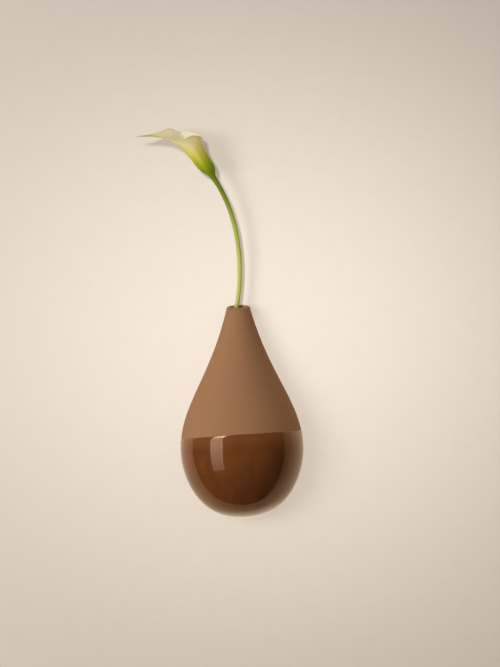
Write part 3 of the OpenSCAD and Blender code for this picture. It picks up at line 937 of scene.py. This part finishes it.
def make_stem(finish):
    """The stem's mesh, and the frame in which its bloom stands."""
    foot, foot_up = stem_foot()
    inner_l = np.linalg.norm(stem_cross - foot)
    cut = stem_ring(foot, stem_way, stem_side, stem_r)
    cut -= np.outer(((cut - foot) @ foot_up) / (stem_way @ foot_up), stem_way)
    rows = [cut]
    for along in np.linspace(3 * stem_r, inner_l - 1 * mm, 40):
        rows.append(stem_ring(foot + along * stem_way, stem_way, stem_side, stem_r))
    for turn in np.linspace(0, bend_turn, 44):
        taper = stem_taper * min(1, turn / bend_turn * taper_speed)
        rows.append(stem_ring(*onward(stem_cross, stem_way, stem_side, bend_r, turn),
                              stem_r - taper))
    crook = onward(stem_cross, stem_way, stem_side, bend_r, bend_turn)
    for turn in np.linspace(0, crook_turn, 34)[1:]:
        taper = stem_taper * (1 + min(1, turn / crook_turn * taper_speed))
        grown = foot_swell * max(0, 1 - (crook_turn - turn) * crook_r / foot_swell_l) ** 2
        rows.append(stem_ring(*onward(*crook, crook_r, turn), stem_r - taper + grown))
    top, way, side = onward(*crook, crook_r, crook_turn)
    rows += [stem_ring(top + up * way, way, side, r) for up, r in stem_ends]
    points, faces = capped(rows, foot, top + stem_tip * way)
    made = solid("calla_stem", points, faces, [finish], sharp=60)
    turn = np.append(np.tile(stem_turn / (2 * pi), len(rows)), (0, 0))
    share = np.append(np.repeat(np.linspace(0, 1, len(rows)), stem_columns), (0, 1))
    lay_grid(made, "stem", turn, share)
    return made, (top, way, side)


def along_the_plant():
    """Fine fibres that run along a stem or petal. Across and Along are its own two ways,
    as numbers that grow by one over a few fibres."""
    group, ins, outs = node_group("plant_fibres", {"Across": 0.0, "Along": 0.0},
                                  ("Fibre", "Patch"))
    place = put(group, "CombineXYZ", {0: ins["Across"], 1: ins["Along"]})
    for name, scale, detail in (("Fibre", 1.0, 3.0), ("Patch", 0.13, 2.0)):
        group.links.new(cloud(group, place, scale, detail), outs[name])
    return group


fibre_group = along_the_plant()


def fresh_stem(tree):
    """Paler along its ribs, where the rib that faces the viewer is also a painted highlight, and a
    deeper green towards the bloom.
    """
    _, _, z = split(tree, here(tree))
    turn = split(tree, put(tree, "UVMap", uv_map="stem"))[0]
    phase = calc(tree, "MULTIPLY_ADD", turn, 2 * pi * rib_count, -rib_count * rib_front)
    wave = calc(tree, "COSINE", phase)
    rib = calc(tree, "MULTIPLY_ADD", wave, 0.5, 0.5)
    fibres = from_group(tree, fibre_group, {"Across": times(tree, wave, fibres_round),
                                            "Along": times(tree, z, fibres_up)})
    high = fade(tree, z, green_from, green_full)
    colour = blend(tree, high, stem_low_green, stem_high_green)
    # Pale ribs: real ribbing, and the rib facing the viewer is also a painted highlight.
    pale = calc(tree, "MULTIPLY_ADD", rib, pale_rib_and_highlight, times(tree, fibres["Fibre"], fibre_pale))
    pale = times(tree, pale, fade(tree, high, 0, 1, 1, high_rib_and_highlight_pale, "LINEAR"))
    colour = blend(tree, pale, colour, stem_pale_and_highlight)
    top = fade(tree, z, top_green_from, top_green_full)
    return put(tree, "BsdfPrincipled", {
        "Base Color": blend(tree, top, colour, stem_top_green),
        "Roughness": fade(tree, fibres["Patch"], 0, 1, 0.34, 0.48),
        "Specular IOR Level": 0.22,
        "Subsurface Weight": 0.15, "Subsurface Radius": (1.0, 1.2, 0.3),
        "Subsurface Scale": 1 * mm, "Normal": relief(tree, fibres["Fibre"], 0.3, fibre_deep)})


stem, bloom = make_stem(material("fresh_stem", fresh_stem))
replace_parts(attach(stem, "flower"), "flower_stem")
flower_shades.objects.link(stem)


# The spathe: one petal-like leaf rolled into a funnel, waxy outside and translucent at the
# lip, whose back is drawn out to a long tip that curls over to the left.
bloom_h, throat_r, lip_r = 56.4 * mm, 8.3 * mm, 14 * mm
tip_out, tip_up, spathe_t, lip_thinner = 45.6 * mm, 26.8 * mm, 0.9 * mm, 0.62
swell, swell_back, throat_shift, flare = 9 * mm, 2.5 * mm, 0.05, 4.6
tip_spread, front_dip, back_rise = radians(13), 0.215, 0.15
near_drop, lip_twist = 0.095, 0.18
fold_dip, fold_at, fold_spread = 2.4 * mm, radians(-78), radians(12)
spathe_columns, spathe_rows, tip_crowding = 120, 72, 1.6
step, small_step = radians(0.5), 0.002
vein_count, vein_deep = 46, 0.035 * mm
foot_swell_out = 4 * mm
bloom_at, bloom_way, bloom_side = bloom
bloom_across = np.cross(bloom_way, bloom_side)
petal_greens = ((0.0, (0.15, 0.22, 0.001, 1)), (0.16, (0.2, 0.27, 0.001, 1)),
                (0.33, (0.33, 0.38, 0.002, 1)), (0.5, (0.57, 0.53, 0.035, 1)),
                (0.68, (0.76, 0.64, 0.18, 1)), (0.88, (0.86, 0.73, 0.42, 1)),
                (1.0, (0.8, 0.68, 0.38, 1)))
petal_creams = ((0.0, (0.3, 0.34, 0.01, 1)), (0.3, (0.58, 0.55, 0.12, 1)),
                (0.55, (0.84, 0.74, 0.38, 1)), (0.78, (0.95, 0.85, 0.64, 1)),
                (1.0, (0.96, 0.87, 0.7, 1)))
petal_margin = (0.5, 0.45, 0.1, 1)
petal_gold = (0.74, 0.6, 0.2, 1)
petal_tip = (0.3, 0.36, 0.03, 1)
gold_outside, gold_inside = 0.2, 0.45
fibres_wide, fibres_high, green_shift, petal_deep = 130.0, 5.0, 0.06, 0.06 * mm
gold_reach, gold_full, gold_from, gold_high = 0.16, 0.03, 0.62, 0.85
margin_from, margin_full, margin_share = 0.965, 0.99, 0.5
tip_reach, tip_full, tip_from, tip_high = 0.014, 0.003, 0.8, 0.95
light_through, thin_from, thin_full = 0.5, 0.35, 0.75


def tip_pull(a):
    """How far the tip draws the lip out, from 1 at the tip itself to nothing beside it."""
    return np.exp(-np.abs(a) / tip_spread)


def spathe_point(a, u):
    """A point of the rolled sheet, at angle a round it and share u of its height."""
    c, s = np.cos(a), np.sin(a)
    rise = np.where(c < 0, -front_dip * c * c, back_rise * c)
    top = (bloom_h * (1 + rise - s * (near_drop + lip_twist * np.maximum(c, 0)))
           + (tip_up - back_rise * bloom_h) * tip_pull(a)
           - fold_dip * np.exp(-((a - fold_at) / fold_spread) ** 2))
    lip = lip_r + (tip_out - lip_r) * tip_pull(a)
    throat = throat_r * (1 + throat_shift * c)
    foot = stem_r - 2 * stem_taper - spathe_t / 2
    h = u * top
    r = (foot + (throat - foot) * (1 - np.exp(-(h / (swell + swell_back * c)) ** 2))
         + (lip - throat) * u ** flare + foot_swell * np.exp(-(h / foot_swell_out) ** 2))
    return np.stack([r * c, r * s, h], -1)


def make_spathe(outside, inside):
    """Two skins of veined rows, one to each side of the rolled sheet, joined at both ends."""
    v = 2 * np.arange(spathe_columns) / spathe_columns - 1
    a = pi * np.sign(v) * np.abs(v) ** tip_crowding
    skins = []
    for side in (1, -1):
        for i in range(spathe_rows + 1):
            u = i / spathe_rows
            cross = np.cross(spathe_point(a + step, u) - spathe_point(a - step, u),
                             spathe_point(a, u + small_step)
                             - spathe_point(a, max(u - small_step, 0)))
            if i == 0:
                cross = np.stack([np.cos(a), np.sin(a), 0 * a], -1)
            cross /= np.linalg.norm(cross, axis=-1, keepdims=True)
            thin = spathe_t / 2 * (1 - lip_thinner * u ** 3)
            vein = vein_deep * (0.5 + 0.5 * np.cos(vein_count * a)) * min(1, 4 * u)
            skins.append(spathe_point(a, u) + side * (thin - vein)[:, None] * cross)
    points = bloom_at + np.concatenate(skins) @ np.array([bloom_side, bloom_across, bloom_way])
    rows, inner = spathe_rows + 1, (spathe_rows + 1) * spathe_columns
    faces = rows_to_faces(rows, spathe_columns)
    outer_faces = len(faces)
    faces += [tuple(reversed(f)) for f in rows_to_faces(rows, spathe_columns, inner)]
    both_faces = len(faces)
    top = inner - spathe_columns
    for j in range(spathe_columns):
        k = (j + 1) % spathe_columns
        faces.append((k, j, j + inner, k + inner))
        faces.append((top + j, top + k, top + k + inner, top + j + inner))
    made = solid("calla_spathe", points, faces, [outside, inside], sharp=70)
    for n, face in enumerate(made.data.polygons):
        face.material_index = 1 if outer_faces <= n < both_faces else 0
    lay_grid(made, "petal", np.tile(a / (2 * pi) + 0.5, 2 * rows),
             np.tile(np.repeat(np.arange(rows) / spathe_rows, spathe_columns), 2))
    return made


def petal(tree, stops, gold_share):
    """Green at the foot to cream at the lip, golden beside the tip, and green at its end. Its
    thin upper part lets some light through."""
    turn, share, _ = split(tree, put(tree, "UVMap", uv_map="petal"))
    fibres = from_group(tree, fibre_group, {"Across": times(tree, turn, fibres_wide),
                                            "Along": times(tree, share, fibres_high)})
    shift = fade(tree, fibres["Patch"], 0, 1, -green_shift, green_shift)
    uneven = calc(tree, "ADD", share, shift)
    ramp = put(tree, "ValToRGB", {0: uneven})
    marks = ramp.color_ramp.elements
    while len(marks) < len(stops):
        marks.new(0.5)
    for mark, (place, colour) in zip(marks, stops):
        mark.position, mark.color = place, colour
    from_tip = calc(tree, "ABSOLUTE", calc(tree, "SUBTRACT", turn, 0.5))
    lip = times(tree, fade(tree, from_tip, gold_reach, gold_full),
                fade(tree, share, gold_from, gold_high))
    edge = times(tree, fade(tree, share, margin_from, margin_full), margin_share)
    end = times(tree, fade(tree, from_tip, tip_reach, tip_full),
                fade(tree, share, tip_from, tip_high))
    colour = ramp.outputs[0]
    for part, shade in ((times(tree, lip, gold_share), petal_gold),
                        (times(tree, fibres["Fibre"], fibre_pale), petal_margin),
                        (edge, petal_margin), (end, petal_tip)):
        colour = blend(tree, part, colour, shade)
    leaf = put(tree, "BsdfPrincipled", {
        "Base Color": colour, "Roughness": fade(tree, fibres["Patch"], 0, 1, 0.4, 0.55),
        "Subsurface Weight": 0.45, "Subsurface Radius": (1.0, 0.9, 0.35),
        "Subsurface Scale": 2 * mm, "Specular IOR Level": 0.12,
        "Normal": relief(tree, fibres["Fibre"], 0.35, petal_deep)})
    thin = fade(tree, share, thin_from, thin_full, 0.0, light_through)
    through = times(tree, thin, put(tree, "LightPath").outputs["Is Shadow Ray"])
    return put(tree, "MixShader", {0: through, 1: leaf, 2: put(tree, "BsdfTransparent")})


spathe = make_spathe(material("petal_outside", petal, petal_greens, gold_outside),
                     material("petal_inside", petal, petal_creams, gold_inside))
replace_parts(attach(spathe, "flower"), "spathe")
flower_shades.objects.link(spathe)


# The spadix: the flower's yellow finger, packed with tiny florets, on a short smooth stalk
# that joins the stem's end inside the funnel.
spadix_r, spadix_l, stalk_share = 3 * mm, 40 * mm, 0.42
stalk_ends, full_from = 0.2, 0.4
stalk_green_to, stalk_green_from = 13 * mm, 5 * mm
floret_turns, floret_step, floret_high, floret_round = 11, 1.5 * mm, 0.28 * mm, 0.6
powder_deep, gap_below, gap_above = 0.06 * mm, 0.44, 0.54
spadix_end = 0.02 * mm
spadix_yellow = (0.78, 0.5, 0.045, 1)
spadix_gap_shade = (0.5, 0.27, 0.015, 1)
spadix_stalk = (0.5, 0.5, 0.1, 1)


def make_spadix(finish):
    """Florets where two sets of spirals cross, swelling from the stalk to the rounded tip."""
    columns = 88
    turn = np.arange(columns) * 2 * pi / columns
    rows = []
    for h in np.linspace(0, spadix_l - spadix_end, 190):
        swelled = np.clip((h / spadix_l - stalk_ends) / (full_from - stalk_ends), 0, 1)
        full = (spadix_r - floret_high) * (stalk_share + (1 - stalk_share)
                                           * (1 - cos(pi * swelled)) / 2)
        top = max(0.0, h - (spadix_l - 2 * spadix_r)) / (2 * spadix_r)
        full *= sqrt(max(1 - top * top, 0))
        wave = pi * h / floret_step
        florets = np.abs(np.cos(floret_turns * turn / 2 + wave)
                         * np.cos(floret_turns * turn / 2 - wave)) ** floret_round
        r = full + floret_high * swelled * florets * sqrt(max(1 - top ** 4, 0))
        rows.append(bloom_at + h * bloom_way + np.outer(r * np.cos(turn), bloom_side)
                    + np.outer(r * np.sin(turn), bloom_across))
    points, faces = capped(rows, bloom_at, bloom_at + spadix_l * bloom_way)
    return solid("calla_spadix", points, faces, [finish])


def pollen_yellow(tree):
    """Powdery, with painted shade in the gaps between florets, and green at the stalk."""
    place = here(tree)
    powder = noise(tree, place, scale=2600.0, detail=3.0)
    # Painted shade: the hollows between florets are painted darker.
    hollow = put(tree, "NewGeometry").outputs["Pointiness"]
    colour = blend(tree, fade(tree, hollow, gap_below, gap_above), spadix_gap_shade, spadix_yellow)
    foot = float(bloom_at[2])
    stalk = fade(tree, split(tree, place)[2], foot + stalk_green_to, foot + stalk_green_from)
    return put(tree, "BsdfPrincipled", {
        "Base Color": blend(tree, stalk, colour, spadix_stalk),
        "Roughness": fade(tree, powder, noise_low, noise_high, 0.7, 0.95),
        "Sheen Weight": 0.3, "Normal": relief(tree, powder, 0.5, powder_deep)})


spadix = make_spadix(material("pollen_yellow", pollen_yellow))
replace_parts(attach(spadix, "flower"), "spadix")
flower_shades.objects.link(spadix)
